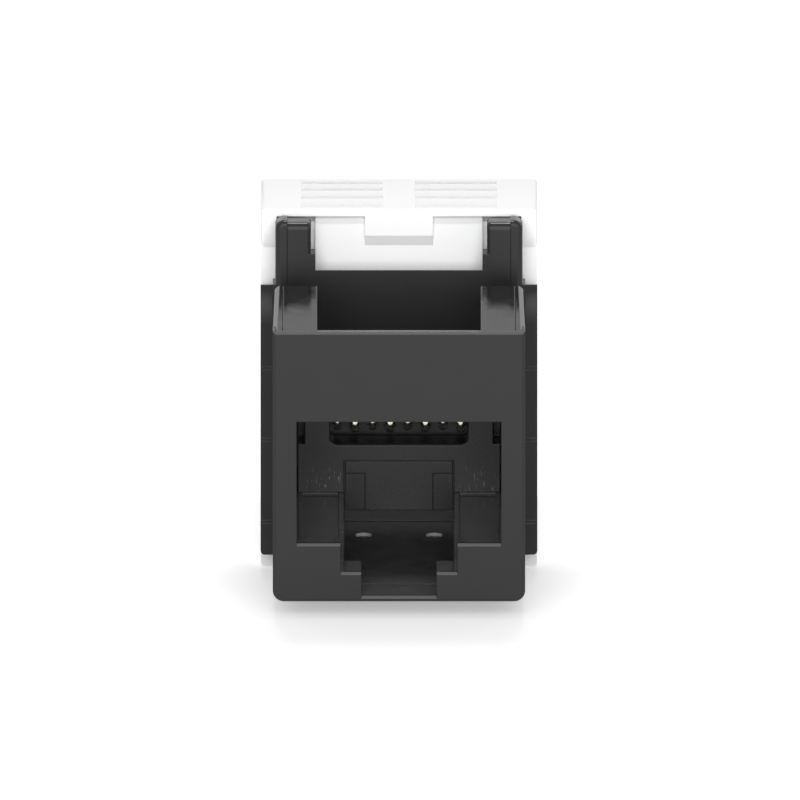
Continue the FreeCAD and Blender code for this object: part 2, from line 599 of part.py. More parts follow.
def circuit_board():
    """The board: narrow in the front housing, wide in the rear one, with its holes."""
    narrow = middle_block(BOARD_NARROW, BOARD_FRONT, FLANGE_REAR + BOARD_GAP + LAP, BOARD_Z, BOARD_TOP)
    wide = middle_block(BOARD_WIDE, FLANGE_REAR + BOARD_GAP, BOARD_REAR, BOARD_Z, BOARD_TOP)
    shape = narrow.fuse(wide)
    low, through = BOARD_Z - OVER, BOARD_T + 2 * OVER
    holes = [Part.makeCylinder(WIRE_D / 2 + PIN_FIT, through, V(wire_x(i), wire_hole_y(i), low))
             for i in range(WIRES)]
    holes += [terminal_pin(i, PIN_FIT) for i in range(2 * TERMINALS_A_ROW)]
    holes += [Part.makeCylinder(PEG_R + PIN_FIT, through, V(0, y, low)) for y in PEG_Y]
    return shape.cut(holes)


def terminal_block():
    """The block on the board: two plinths with a cradle for each core, and the trough between them."""
    half = BLOCK_W / 2
    trough = TROUGH_W / 2
    section = [(-half, BOARD_TOP), (half, BOARD_TOP), (half, BLOCK_Z), (trough, BLOCK_Z), (trough, TROUGH_Z),
               (-trough, TROUGH_Z), (-trough, BLOCK_Z), (-half, BLOCK_Z)]
    shape = along_y(section, BLOCK_Y0, BLOCK_Y1)
    pegs = [Part.makeCylinder(PEG_R, BOARD_T + LAP, V(0, y, BOARD_Z)) for y in PEG_Y]
    shape = shape.fuse(pegs)
    cuts = [terminal_blade(i, PIN_FIT) for i in range(2 * TERMINALS_A_ROW)]
    cuts += [rod_x(terminal_y(i), BLOCK_Z + CORE_UP, CORE_D / 2, -half - OVER, half + OVER)
             for i in range(TERMINALS_A_ROW)]
    return shape.cut(cuts)


# --- rear housing ---------------------------------------------------------------------------------
def rear_housing():
    """The white tray behind the flange: it holds the board, the cable and the flip cap's hinge pins."""
    half = SHELL_W / 2
    shape = block(-half, half, FLANGE_REAR, REAR_Y, -FOOT, SHELL_TOP)
    shape = rounded(shape, SHELL_R, lambda p, d: abs(d.y) > 0.99 and near(p.z, -FOOT))
    shape = shape.cut(block(-SHELL_IN, SHELL_IN, FLANGE_REAR - OVER, REAR_Y - REAR_T, 0, SHELL_TOP + OVER))
    wall = middle_block(2 * (CABLE_R + SADDLE_SIDE), REAR_Y - REAR_T, REAR_Y, SHELL_TOP - LAP, SADDLE_TOP)
    ear = SHELL_IN - EAR_GAP
    ears = both_sides(rod_x(HINGE_Y, HINGE_Z, EAR_R, ear - EAR_T, ear))
    pins = both_sides(rod_x(HINGE_Y, HINGE_Z, PIN_R, ear - LAP, half - PIN_BACK))
    rail = ROW_X + TERMINAL_T / 2 + RAIL_GAP
    rails = both_sides(along_y([(rail, BOARD_Z), (SHELL_IN + LAP, BOARD_Z), (SHELL_IN + LAP, BOARD_Z - RAIL_DEEP),
                                (rail, BOARD_Z - RAIL_T)], TAIL_D + FIT, REAR_Y - REAR_T + LAP))
    cheek, turn = CABLE_R + SADDLE_WALL, HINGE_Z - SADDLE_STRAIGHT
    saddle = [(cheek, HINGE_Z), (cheek, turn), ((0, HINGE_Z - CABLE_R - SADDLE_BELLY), (-cheek, turn)),
              (-cheek, HINGE_Z)]
    cradle = along_y(saddle, BOARD_REAR + SADDLE_GAP, REAR_Y - REAR_T + LAP)
    shape = shape.fuse([wall, cradle] + rails)
    shape = shape.cut(both_sides(rod_x(HINGE_Y, HINGE_Z, KNUCKLE_R + KNUCKLE_GAP, ear + HAIR, half + OVER)))
    shape = shape.fuse(ears + pins)
    entry = [(CABLE_R, HINGE_Z), (CABLE_R, SADDLE_TOP + OVER), (-CABLE_R, SADDLE_TOP + OVER), (-CABLE_R, HINGE_Z)]
    entry.append(((0, HINGE_Z - CABLE_R), (CABLE_R, HINGE_Z)))
    shape = shape.cut(along_y(entry, BOARD_REAR, REAR_Y + OVER))
    windows = both_sides(block(SHELL_IN - OVER, half + OVER, BARB_Y0 - BARB_GAP, BARB_Y1 + BARB_REAR,
                               BARB_Z0 - BARB_GAP, BARB_Z1 + BARB_GAP))
    return shape.cut(windows)


# --- flip cap -------------------------------------------------------------------------------------
def roof_z(y):
    """Height of the cap's roof: flat at the lip, then bowed, then straight down to the rear corner."""
    if y <= CAP_BOW_Y:
        return CAP_Z
    bowed = CAP_Z - CAP_BOW + math.sqrt(CAP_BOW ** 2 - (min(y, CAP_BREAK_Y) - CAP_BOW_Y) ** 2)
    if y <= CAP_BREAK_Y:
        return bowed
    rear = DEPTH - CAP_REAR_R
    return bowed + (CAP_REAR_Z - bowed) * (y - CAP_BREAK_Y) / (rear - CAP_BREAK_Y)


def cap_side(drop):
    """The cap's roof line from its bow to the rear corner, lowered by drop."""
    middle = (CAP_BOW_Y + CAP_BREAK_Y) / 2
    return [(CAP_BOW_Y, CAP_Z - drop),
            ((middle, roof_z(middle) - drop), (CAP_BREAK_Y, roof_z(CAP_BREAK_Y) - drop))]


def flip_cap():
    """The white cap: roof with lip and grip teeth, cheeks with hinge eyes, skirt, rear wall and ribs."""
    half = SHELL_W / 2
    low = SHELL_TOP + SEAM
    nose_end = CAP_LIP_Y + CAP_NOSE_R - math.sqrt(CAP_NOSE_R ** 2 - CAP_NOSE_DROP ** 2)
    nose_mid = CAP_LIP_Y + CAP_NOSE_R - math.sqrt(CAP_NOSE_R ** 2 - (CAP_NOSE_DROP / 2) ** 2)
    knuckle = math.sqrt(KNUCKLE_R ** 2 - (low - HINGE_Z) ** 2)
    diagonal = KNUCKLE_R * math.sqrt(0.5)
    side = [(nose_end, low), (nose_end, CAP_NOSE_Z - CAP_NOSE_DROP),
            ((nose_mid, CAP_NOSE_Z - CAP_NOSE_DROP / 2), (CAP_LIP_Y, CAP_NOSE_Z)),
            (CAP_LIP_Y, CAP_Z - CAP_LIP_R),
            ((CAP_LIP_Y + CAP_LIP_BOW, CAP_Z - CAP_LIP_BOW), (CAP_LIP_Y + CAP_LIP_R, CAP_Z))]
    side += cap_side(0)
    bow = nook(CAP_REAR_R)
    side += [(DEPTH - CAP_REAR_R, CAP_REAR_Z), ((DEPTH - bow, CAP_REAR_Z - bow), (DEPTH, CAP_REAR_Z - CAP_REAR_R)),
             (DEPTH, HINGE_Z), ((HINGE_Y + diagonal, HINGE_Z - diagonal), (HINGE_Y, HINGE_Z - KNUCKLE_R)),
             ((HINGE_Y - diagonal, HINGE_Z - diagonal), (HINGE_Y - knuckle, low))]
    shape = along_x(side, -half, half)
    shape = rounded(shape, CAP_SIDE_R, lambda p, d: near(abs(p.x), half) and p.z > CAP_REAR_Z and abs(d.x) < 0.1
                    and p.y < DEPTH - CAP_REAR_R - LAP and p.y > CAP_LIP_Y + CAP_LIP_R + LAP and abs(d.y) > 0.5)
    inner = [(CAP_LIP_Y - OVER, 0), (CAP_LIP_Y - OVER, CAP_LIP_Z), (CAP_LIP_Y, CAP_LIP_Z),
             (CAP_LIP_Y + CAP_LIP_T, CAP_LIP_Z - CAP_LIP_FALL),
             (CAP_LIP_Y + CAP_LIP_T + CAP_LIP_RUN, CAP_Z - CAP_T)]
    inner += cap_side(CAP_T)
    wall = DEPTH - CAP_REAR_T
    inner += [(wall, roof_z(wall) - CAP_T), (wall, CAP_REAR_WALL), (DEPTH + OVER, CAP_REAR_WALL), (DEPTH + OVER, 0)]
    shape = shape.cut(along_x(inner, -SHELL_IN, SHELL_IN))
    shape = shape.cut(both_sides(rod_x(HINGE_Y, HINGE_Z, PIN_R + PIN_FIT, SHELL_IN - LAP, half + OVER)))
    top, back = CAP_Z - CAP_T + LAP, SKIRT_Y + LAP
    skirt = middle_block(SKIRT_W, SKIRT_Y, SKIRT_Y + SKIRT_T, SKIRT_Z, top)
    apron = middle_block(2 * (SHELL_IN + LAP), SKIRT_Y + SKIRT_BACK, SKIRT_Y + SKIRT_T, SKIRT_Z, top)
    tab = along_x([(back, TAB_LIFT_LOW), (SKIRT_Y, TAB_LIFT_LOW), (CAP_LIP_Y, TAB_LIFT_Z),
                   (CAP_LIP_Y, CAP_LIP_Z + LAP), (back, CAP_LIP_Z + LAP)], -TAB_LIFT_W / 2, TAB_LIFT_W / 2)
    arch = along_y([(CABLE_R, HINGE_Z), ((0, HINGE_Z + CABLE_R), (-CABLE_R, HINGE_Z))], wall - OVER, DEPTH + OVER)
    pieces = [skirt, apron, tab] + cap_ribs() + grip_teeth()
    return shape.fuse(pieces).cut(arch)


def cap_ribs():
    """Ribs under the roof that the wire guide is seated on."""
    ribs = []
    for x in (-RIB_X, 0, RIB_X):
        rib = block(x - RIB_HALF, x + RIB_HALF, GUIDE_Y0 + RIB_FRONT, GUIDE_Y1 - RIB_REAR, GUIDE_TOP, CAP_Z)
        under = [(GUIDE_Y0, 0), (GUIDE_Y0, CAP_Z - CAP_T / 2)] + cap_side(CAP_T / 2)[1:]
        under += [(GUIDE_Y1, roof_z(GUIDE_Y1) - CAP_T / 2), (GUIDE_Y1, 0)]
        ribs.append(rib.common(along_x(under, x - OVER, x + OVER)))
    return ribs


def grip_teeth():
    """Saw teeth across the roof, in two groups, steep on the side that faces the bezel."""
    teeth = []
    for index in range(GRIPS):
        y = GRIP_Y + GRIP_PITCH * index
        far = y + GRIP_RUN
        profile = [(y, roof_z(y) - GRIP_SINK), (y, roof_z(y) + GRIP_UP), (far, roof_z(far) - HAIR),
                   (far, roof_z(far) - GRIP_SINK)]
        teeth += both_sides(along_x(profile, GRIP_IN, GRIP_OUT))
    return teeth


def wire_guide():
    """The guide inside the cap: a groove for each core and one along each row of blades."""
    half = GUIDE_W / 2
    bottom = BLOCK_Z + GUIDE_GAP
    shape = middle_block(GUIDE_W, GUIDE_Y0, GUIDE_Y1, bottom, GUIDE_TOP)
    y0, y1, low = GUIDE_Y0 - OVER, GUIDE_Y1 + OVER, bottom - OVER
    cuts = [middle_block(TROUGH_W, y0, y1, low, GUIDE_TOP - GUIDE_WEB)]
    cuts += both_sides(block(ROW_X - BLADE_SIDE, ROW_X + BLADE_SIDE, y0, y1, low, TERMINAL_Z + BLADE_GAP))
    cuts += [rod_x(terminal_y(i), bottom + CORE_UP, CORE_D / 2, -half - OVER, half + OVER)
             for i in range(TERMINALS_A_ROW)]
    return shape.cut(cuts)


def main():
    """Build and write every node."""
    os.makedirs("parts", exist_ok=True)
    nodes = {"front_housing": front_housing(), "contact_carrier": contact_carrier(),
             "circuit_board": circuit_board(), "terminal_block": terminal_block(),
             "rear_housing": rear_housing(), "flip_cap": flip_cap(), "wire_guide": wire_guide()}
    for index in range(WIRES):
        nodes["contact_wire_%d" % (index + 1)] = contact_wire(index)
    for index in range(2 * TERMINALS_A_ROW):
        nodes["idc_terminal_%d" % (index + 1)] = idc_terminal(index)
    for node, shape in nodes.items():
        export(node, shape)


main()
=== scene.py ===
"""Looks for a keystone jack: finishes, solder, lip web, lamps and camera round its solids."""
import json
import math

import bmesh
import bpy
from bpy.props import FloatProperty, FloatVectorProperty, PointerProperty
from mathutils import Matrix, Vector

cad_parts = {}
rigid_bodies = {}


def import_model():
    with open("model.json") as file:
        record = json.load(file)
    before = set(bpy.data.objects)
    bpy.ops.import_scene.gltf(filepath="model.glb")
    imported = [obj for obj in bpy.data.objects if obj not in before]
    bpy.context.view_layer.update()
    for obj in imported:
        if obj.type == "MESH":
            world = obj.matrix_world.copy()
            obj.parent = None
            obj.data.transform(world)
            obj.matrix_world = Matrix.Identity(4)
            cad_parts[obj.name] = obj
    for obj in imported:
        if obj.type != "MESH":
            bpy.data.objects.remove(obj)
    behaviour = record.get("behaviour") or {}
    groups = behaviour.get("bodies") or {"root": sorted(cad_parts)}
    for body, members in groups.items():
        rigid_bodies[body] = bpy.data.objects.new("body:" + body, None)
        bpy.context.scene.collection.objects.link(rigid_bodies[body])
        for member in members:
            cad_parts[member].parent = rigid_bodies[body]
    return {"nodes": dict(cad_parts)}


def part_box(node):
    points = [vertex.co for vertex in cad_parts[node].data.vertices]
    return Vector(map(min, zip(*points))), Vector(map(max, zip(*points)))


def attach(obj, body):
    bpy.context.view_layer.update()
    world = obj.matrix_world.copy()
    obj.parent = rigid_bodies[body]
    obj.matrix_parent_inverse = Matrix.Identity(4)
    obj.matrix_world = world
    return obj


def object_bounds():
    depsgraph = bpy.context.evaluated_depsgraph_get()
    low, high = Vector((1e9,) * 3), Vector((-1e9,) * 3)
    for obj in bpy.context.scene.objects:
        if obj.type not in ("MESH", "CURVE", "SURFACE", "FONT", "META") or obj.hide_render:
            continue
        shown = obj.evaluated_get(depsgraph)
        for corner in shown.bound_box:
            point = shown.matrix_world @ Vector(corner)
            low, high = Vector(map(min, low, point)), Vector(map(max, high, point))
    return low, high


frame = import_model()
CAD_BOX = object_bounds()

bl_info = {
    "name": "Keystone Jack Finishes",
    "version": (1, 0, 0),
    "blender": (4, 5, 0),
    "location": "View3D > Sidebar > Jack",
    "description": "Plastic, contact and board finishes for a keystone jack, with its solder, "
                   "lip web, lamps and camera",
    "category": "Object",
}

MM = 0.001
NODES = frame["nodes"]
WIRES = [name for name in sorted(NODES) if name.startswith("contact_wire")]
TERMINALS = [name for name in sorted(NODES) if name.startswith("idc_terminal")]
SHELL_NODES = ("rear_housing", "flip_cap")
FACE_Y = CAD_BOX[0].y
BOARD_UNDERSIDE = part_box("circuit_board")[0].z

# Mouldings: how strongly they mirror, how round their edges look and how deep their grain is.
PLASTIC_INDEX = 1.46
NYLON_INDEX = 1.36
EDGE_RADIUS = 0.08 * MM
SHELL_EDGE_RADIUS = 0.025 * MM
EDGE_SAMPLES = 6
GRAIN_DEPTH = 0.0035 * MM
CARRIER_GRAIN_DEPTH = 0.002 * MM
FLOW_MARK = 3.2 * MM

# Painted shade, painted light, painted highlights and painted glints; the port's painted light is
# mottled like dust.
# Painted shade on the grip teeth's steep faces.
TEETH_SHADE = (0.56, 0.56, 0.56, 1)
# Painted light on the port's upward faces, mottled like settled dust.
PORT_LIGHT_AND_DUST = (0.085, 0.085, 0.087, 1)
# Painted highlight on the opening's lower rims.
RIM_HIGHLIGHT = (0.085, 0.085, 0.086, 1)
# Painted highlight on the round marks' walls.
MARK_HIGHLIGHT = (0.42, 0.42, 0.42, 1)
# Painted glints on the carrier.
CARRIER_GLINT = (0.24, 0.24, 0.245, 1)

# Where the front housing is polished, and where it gets painted light and painted highlights.
POLISH_Z = 1.0 * MM                        # faces that look up are polished above this height
PORT_HALF = 5.95 * MM                      # half the plug opening's width
PORT_FLOOR, PORT_ROOF = 1.3 * MM, 12.0 * MM
PORT_START, PORT_FULL = FACE_Y + 0.2 * MM, FACE_Y + 0.4 * MM
RIM_FULL, RIM_END = FACE_Y + 0.3 * MM, FACE_Y + 0.4 * MM
MARK_LOW, MARK_HIGH = 1.2 * MM, 1.43 * MM  # walls of the round marks in the opening's floor, painted with a highlight
MARK_FRONT, MARK_BACK = -1.2 * MM, -0.4 * MM

# Where the carrier gets painted glints, from the middle outwards and up from its foot.
GLINT_IN, GLINT_OUT = 3.3 * MM, 5.7 * MM
GLINT_UP, GLINT_TALL, GLINT_DEEP = 1.1 * MM, 1.3 * MM, 0.1 * MM

# Where the grip teeth's steep faces get painted shade: above the roof's foot and behind the lip.
TEETH_Z, TEETH_Y = 20.2 * MM, -2.1 * MM

# The web between the cap's skirt and its lip.
WEB_HALF = 4.8 * MM
WEB_SETBACK = 0.35 * MM                    # from the lip's front to the web's face
WEB_DROP = 0.505 * MM                      # from the roof's top to the web's top
WEB_DEPTH, WEB_TALL = 0.75 * MM, 0.53 * MM
COVE_STEPS = 8

# The stage.
FLOOR_REACH = 0.6
FLOOR_CLOUD = 20 * MM
OVERHEAD_PLACE, OVERHEAD_AIM, OVERHEAD_SIZE = (0, 0.06, 0.20), (0, 0, 0), 0.055
FRONT_PLACE, FRONT_AIM, FRONT_SIZE = (0, -0.28, 0.105), (0, 0, 0.01), 0.25
CAMERA_DISTANCE = 0.4


# --- settings -------------------------------------------------------------------------------------
def colour(name, text, value):
    """A colour setting with its default."""
    return FloatVectorProperty(name=name, description=text, subtype="COLOR", size=3, min=0, max=1,
                               default=value)


def factor(name, text, value):
    """A setting between nought and one."""
    return FloatProperty(name=name, description=text, subtype="FACTOR", min=0, max=1, default=value)


def length(name, text, value):
    """A length in metres, shown in the scene's unit."""
    return FloatProperty(name=name, description=text, subtype="DISTANCE", unit="LENGTH", min=0,
                         default=value)


def power(name, text, value):
    """A lamp's power in watts."""
    return FloatProperty(name=name, description=text, unit="POWER", min=0, default=value)


class JackPlastics(bpy.types.PropertyGroup):
    """Colours and gloss of the mouldings, and the hollow round under the cap's lip."""
    black: colour("Black", "Colour of the front moulding", (0.0125, 0.0125, 0.0127))
    carrier: colour("Carrier", "Colour of the contact carrier", (0.021, 0.021, 0.0213))
    black_roughness: factor("Black Roughness", "Roughness of the spark-eroded outer faces", 0.42)
    polish: factor("Polish", "Roughness of the polished latch legs and of the port's walls", 0.10)
    white: colour("White", "Colour of the rear housing and the flip cap", (0.93, 0.931, 0.933))
    guide: colour("Guide", "Colour of the wire guide and the terminal block", (0.80, 0.80, 0.79))
    cove: length("Cove", "Radius of the hollow round under the cap's lip", 0.25 * MM)
    white_roughness: factor("White Roughness", "Roughness of the white mouldings", 0.38)
    carrier_roughness: factor("Carrier Roughness", "Roughness of the contact carrier", 0.3)
    grain: length("Grain", "Size of the moulded surface's grain", 0.09 * MM)


class JackMetals(bpy.types.PropertyGroup):
    """Colours, gloss and sizes of the metal pieces and of the board."""
    contact: colour("Contact", "Colour of the plated contact wires", (0.84, 0.80, 0.70))
    contact_roughness: factor("Contact Roughness", "Roughness of the contact wires", 0.16)
    terminal: colour("Terminal", "Colour of the tinned blades", (0.72, 0.72, 0.70))
    terminal_roughness: factor("Terminal Roughness", "Roughness of the blades", 0.28)
    solder: colour("Solder", "Colour of the solder", (0.66, 0.67, 0.68))
    solder_foot: length("Solder Foot", "Radius of a solder joint on the board", 0.62 * MM)
    solder_top: length("Solder Top", "Radius of a solder joint at its tip", 0.3 * MM)
    solder_height: length("Solder Height", "How far a solder joint stands off the board", 0.24 * MM)
    mask: colour("Solder Mask", "Colour of the board's lacquer", (0.010, 0.085, 0.035))
    laminate: colour("Laminate", "Colour of the board's sawn edge", (0.42, 0.36, 0.16))
    track_pitch: length("Track Pitch", "Pitch of the tracks under the lacquer", 1.016 * MM)


class JackStage(bpy.types.PropertyGroup):
    """Camera, lamps and floor."""
    elevation: FloatProperty(name="Elevation", description="Camera's height above the horizon",
                             subtype="ANGLE", unit="ROTATION", default=math.radians(15.0))
    view_width: length("View Width", "Width that the camera sees", 45.95 * MM)
    look_up: length("Look Up", "How far above the face's foot the camera looks, across its view",
                    12.617 * MM)
    look_right: length("Look Right", "How far right of the middle the camera looks", 0.06 * MM)
    key_power: power("Key Power", "Power of the overhead soft lamp", 0.118)
    fill_power: power("Fill Power", "Power of the front lamp", 0.76)
    room: FloatProperty(name="Room Light", description="Strength of the even light all round",
                        min=0, default=0.48)
    floor: colour("Floor", "Colour of the floor", (0.80, 0.80, 0.80))
    floor_glow: FloatProperty(name="Floor Glow",
                              description="Light that the floor adds for the camera alone",
                              min=0, default=0.38)


# --- material helpers -----------------------------------------------------------------------------
def settings(context, group):
    """One of the property groups, from the scene."""
    return getattr(context.scene, group)


def blank_material(name):
    """A material with a Principled shader, its output and the piece's own coordinates."""
    material = bpy.data.materials.new(name)
    material.use_nodes = True
    tree = material.node_tree
    tree.nodes.clear()
    output = tree.nodes.new("ShaderNodeOutputMaterial")
    shader = tree.nodes.new("ShaderNodeBsdfPrincipled")
    tree.links.new(shader.outputs["BSDF"], output.inputs["Surface"])
    place = tree.nodes.new("ShaderNodeTexCoord").outputs["Object"]
    return material, tree, shader, place


def add_node(tree, kind, **values):
    """A node with attributes and input values set by name; underscores stand for spaces."""
    made = tree.nodes.new("ShaderNode" + kind)
    for key, value in values.items():
        if hasattr(made, key):
            setattr(made, key, value)
        else:
            made.inputs[key.replace("_", " ")].default_value = value
    return made


def feed(tree, target, values):
    """Set a node's inputs, each to a number or to another node's socket."""
    for key, value in values.items():
        socket = target.inputs[key]
        if isinstance(value, bpy.types.NodeSocket):
            tree.links.new(value, socket)
        else:
            socket.default_value = value


def maths(tree, operation, first, second=0.0):
    """A Math node fed by sockets or numbers."""
    made = add_node(tree, "Math", operation=operation)
    feed(tree, made, {0: first, 1: second})
    return made.outputs[0]


def product(tree, first, *others):
    """Sockets or numbers multiplied together."""
    for value in others:
        first = maths(tree, "MULTIPLY", first, value)
    return first


def mix_values(tree, share, first, second):
    """first where share is nought and second where it is one."""
    made = add_node(tree, "Mix")
    feed(tree, made, {0: share, 2: first, 3: second})
    return made.outputs[0]


def mix_colours(tree, share, first, second):
    """The colour first where share is nought and the colour second where it is one."""
    made = add_node(tree, "Mix", data_type="RGBA")
    feed(tree, made, {0: share, 6: first, 7: second})
    return made.outputs[2]


def axes(tree, vector):
    """The X, Y and Z of a vector."""
    split = add_node(tree, "SeparateXYZ")
    tree.links.new(vector, split.inputs[0])
    return split.outputs


def facing(tree):
    """Which way the surface faces, as X, Y and Z."""
    return axes(tree, add_node(tree, "NewGeometry").outputs["Normal"])


def rounded_normal(tree, radius):
    """The surface's normal, with its edges rounded."""
    return add_node(tree, "Bevel", samples=EDGE_SAMPLES, Radius=radius).outputs["Normal"]


def noise(tree, place, size, detail=3.0, stretch=(1, 1, 1)):
    """Noise whose lumps are size metres across, stretched along the axes."""
    mapping = add_node(tree, "Mapping")
    mapping.inputs["Scale"].default_value = [1 / (size * s) for s in stretch]
    tree.links.new(place, mapping.inputs["Vector"])
    made = add_node(tree, "TexNoise", Scale=1.0, Detail=detail, Roughness=0.55)
    tree.links.new(mapping.outputs["Vector"], made.inputs["Vector"])
    return made.outputs["Fac"]


def spread(tree, value, low, high, start=0.3, end=0.7):
    """Maps a value from start..end to low..high."""
    made = add_node(tree, "MapRange", clamp=True)
    feed(tree, made, {"Value": value, "From Min": start, "From Max": end, "To Min": low,
                      "To Max": high})
    return made.outputs["Result"]


def above(tree, value, start, end):
    """Nought up to start and one from end on."""
    return spread(tree, value, 0, 1, start, end)


def below(tree, value, start, end):
    """One up to start and nought from end on."""
    return spread(tree, value, 1, 0, start, end)


def inside(tree, value, low, high, soft):
    """One between low and high, with soft edges outside them."""
    return product(tree, above(tree, value, low - soft, low), below(tree, value, high, high + soft))


def ramp(tree, value, base, low, high):
    """A colour from low times base to high times base, as value goes from nought to one."""
    made = add_node(tree, "ValToRGB")
    for stop, share in zip(made.color_ramp.elements, (low, high)):
        stop.color = [min(c * share, 1) for c in base] + [1]
    tree.links.new(value, made.inputs["Fac"])
    return made.outputs["Color"]


def tint(tree, shader, value, base, low, high):
    """Base colour that varies with a value."""
    tree.links.new(ramp(tree, value, base, low, high), shader.inputs["Base Color"])


def bump(tree, shader, height, depth, strength):
    """Bump of a given depth in metres."""
    made = add_node(tree, "Bump", Strength=strength, Distance=depth)
    tree.links.new(height, made.inputs["Height"])
    tree.links.new(made.outputs["Normal"], shader.inputs["Normal"])
    return made


def overlay(tree, shader, share, over):
    """Lay a colour over the shader's own where share is one."""
    own = shader.inputs["Base Color"].links[0].from_socket
    tree.links.new(mix_colours(tree, share, own, over), shader.inputs["Base Color"])


def give(names, material):
    """Put a material on CAD nodes or pieces."""
    for name in names:
        piece = bpy.data.objects[name]
        if not piece.data.materials:
            piece.data.materials.append(material)
        for index in range(len(piece.data.materials)):
            piece.data.materials[index] = material


def new_piece(name, mesh, body):
    """An object at the origin that rides on a body."""
    piece = bpy.data.objects.new(name, mesh)
    bpy.context.scene.collection.objects.link(piece)
    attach(piece, body)
    return piece


# --- finishes -------------------------------------------------------------------------------------
def grainy_plastic(name, base, roughness, grain, tone=0.04, depth=GRAIN_DEPTH, index=PLASTIC_INDEX,
                   edge=EDGE_RADIUS):
    """Moulded plastic: spark-eroded grain, faint flow marks and slightly uneven gloss."""
    material, tree, shader, place = blank_material(name)
    fine = noise(tree, place, grain, 2.0)
    flow = noise(tree, place, FLOW_MARK, 3.0, (1, 2.2, 1))
    tint(tree, shader, flow, base, 1 - tone, 1 + tone)
    gloss = maths(tree, "ADD", spread(tree, flow, roughness - 0.03, roughness + 0.03),
                  spread(tree, fine, -0.03, 0.03))
    tree.links.new(gloss, shader.inputs["Roughness"])
    grains = bump(tree, shader, fine, depth, 0.6)
    tree.links.new(rounded_normal(tree, edge), grains.inputs["Normal"])
    shader.inputs["IOR"].default_value = index
    return material, tree, shader, place, gloss


def black_housing(plastics):
    """Black nylon: matt, but polished on the latch legs and in the plug opening, with painted light
    in the opening and painted highlights on its rims and mark walls.
    """
    material, tree, shader, place, gloss = grainy_plastic(
        "black_nylon", plastics.black, plastics.black_roughness, plastics.grain, 0.06,
        index=NYLON_INDEX)
    x, y, z = axes(tree, place)
    _, backward, upward = facing(tree)
    up = above(tree, upward, 0.5, 0.65)
    legs = product(tree, up, above(tree, z, POLISH_Z, POLISH_Z + 0.1 * MM))
    port = product(tree, inside(tree, x, -PORT_HALF, PORT_HALF, 0.02 * MM),
                   above(tree, y, PORT_START, PORT_FULL),
                   inside(tree, z, PORT_FLOOR, PORT_ROOF, 0.05 * MM))
    streaks = noise(tree, place, 0.5 * MM, 4.0, (1, 1, 3))
    smooth = spread(tree, streaks, plastics.polish - 0.05, plastics.polish + 0.08)
    polished = maths(tree, "MAXIMUM", legs, port)
    tree.links.new(mix_values(tree, polished, gloss, smooth), shader.inputs["Roughness"])

    # Painted light: the port's upward faces are made lighter, mottled like settled dust.
    light_mottle = spread(tree, noise(tree, place, 1.1 * MM, 4.0), 0.45, 0.75)
    overlay(tree, shader, product(tree, port, up, light_mottle), PORT_LIGHT_AND_DUST)

    # Painted highlight: rounded rims facing up and forward near the face are made paler.
    _, rim_backward, rim_upward = axes(tree, rounded_normal(tree, EDGE_RADIUS))
    painted_rim_highlight = product(tree, above(tree, rim_upward, 0.25, 0.5), below(tree, rim_backward, -0.5, -0.25),
                  below(tree, y, RIM_FULL, RIM_END))
    overlay(tree, shader, painted_rim_highlight, RIM_HIGHLIGHT)

    # Painted highlight: the front-facing walls of the round marks are made pale.
    lit_mark_walls = product(tree, inside(tree, z, MARK_LOW, MARK_HIGH, 0.01 * MM),
                    below(tree, backward, -0.55, -0.35),
                    inside(tree, y, MARK_FRONT, MARK_BACK, 0.01 * MM))
    overlay(tree, shader, lit_mark_walls, MARK_HIGHLIGHT)
    return material


def painted_glints(tree, shader, place, low, high):
    """Painted glints: pale upright speckles between two corners and on the mirrored side."""
    x, y, z = axes(tree, place)
    zone = product(tree, inside(tree, maths(tree, "ABSOLUTE", x), low[0], high[0], 0.15 * MM),
                   inside(tree, z, low[2], high[2], 0.25 * MM),
                   inside(tree, y, low[1], high[1], 0.1 * MM))
    streaks = above(tree, noise(tree, place, 0.11 * MM, 3.0, (1, 2, 5)), 0.60, 0.68)
    patches = above(tree, noise(tree, place, 0.9 * MM, 2.0), 0.40, 0.60)
    # Painted glints: pale speckles laid over the carrier's colour.
    overlay(tree, shader, product(tree, streaks, patches, zone, 0.9), CARRIER_GLINT)


def carrier_nylon(plastics):
    """Darker, glossier nylon, with painted glints on both sides of the tongue."""
    material, tree, shader, place, _ = grainy_plastic(
        "carrier_nylon", plastics.carrier, plastics.carrier_roughness, plastics.grain, 0.08,
        CARRIER_GRAIN_DEPTH, NYLON_INDEX)
    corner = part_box("contact_carrier")[0]
    foot = corner.z + GLINT_UP
    painted_glints(tree, shader, place, (GLINT_IN, corner.y, foot),
            (GLINT_OUT, corner.y + GLINT_DEEP, foot + GLINT_TALL))
    return material


def white_shell(plastics):
    """White plastic; the steep faces of the grip teeth are painted grey as shade."""
    material, tree, shader, place, _ = grainy_plastic(
        "white_shell", plastics.white, plastics.white_roughness, plastics.grain, 0.012,
        edge=SHELL_EDGE_RADIUS)
    _, y, z = axes(tree, place)
    _, backward, _ = facing(tree)
    # Painted shade: the grip teeth's front-facing steep faces are made grey.
    teeth_shade_mask = product(tree, below(tree, backward, -0.7, -0.5),
                    above(tree, z, TEETH_Z, TEETH_Z + 0.1 * MM),
                    above(tree, y, TEETH_Y, TEETH_Y + 0.1 * MM), 0.8)
    overlay(tree, shader, teeth_shade_mask, TEETH_SHADE)
    return material


def solder_finish(metals):
    """Tin solder: bright, with a frosty skin."""
    material, tree, shader, place = blank_material("solder")
    skin = noise(tree, place, 0.12 * MM, 4.0)
    tint(tree, shader, skin, metals.solder, 0.86, 1.05)
    shader.inputs["Metallic"].default_value = 1.0
    tree.links.new(spread(tree, skin, 0.22, 0.42), shader.inputs["Roughness"])
    bump(tree, shader, skin, 0.01 * MM, 0.4)
    return material


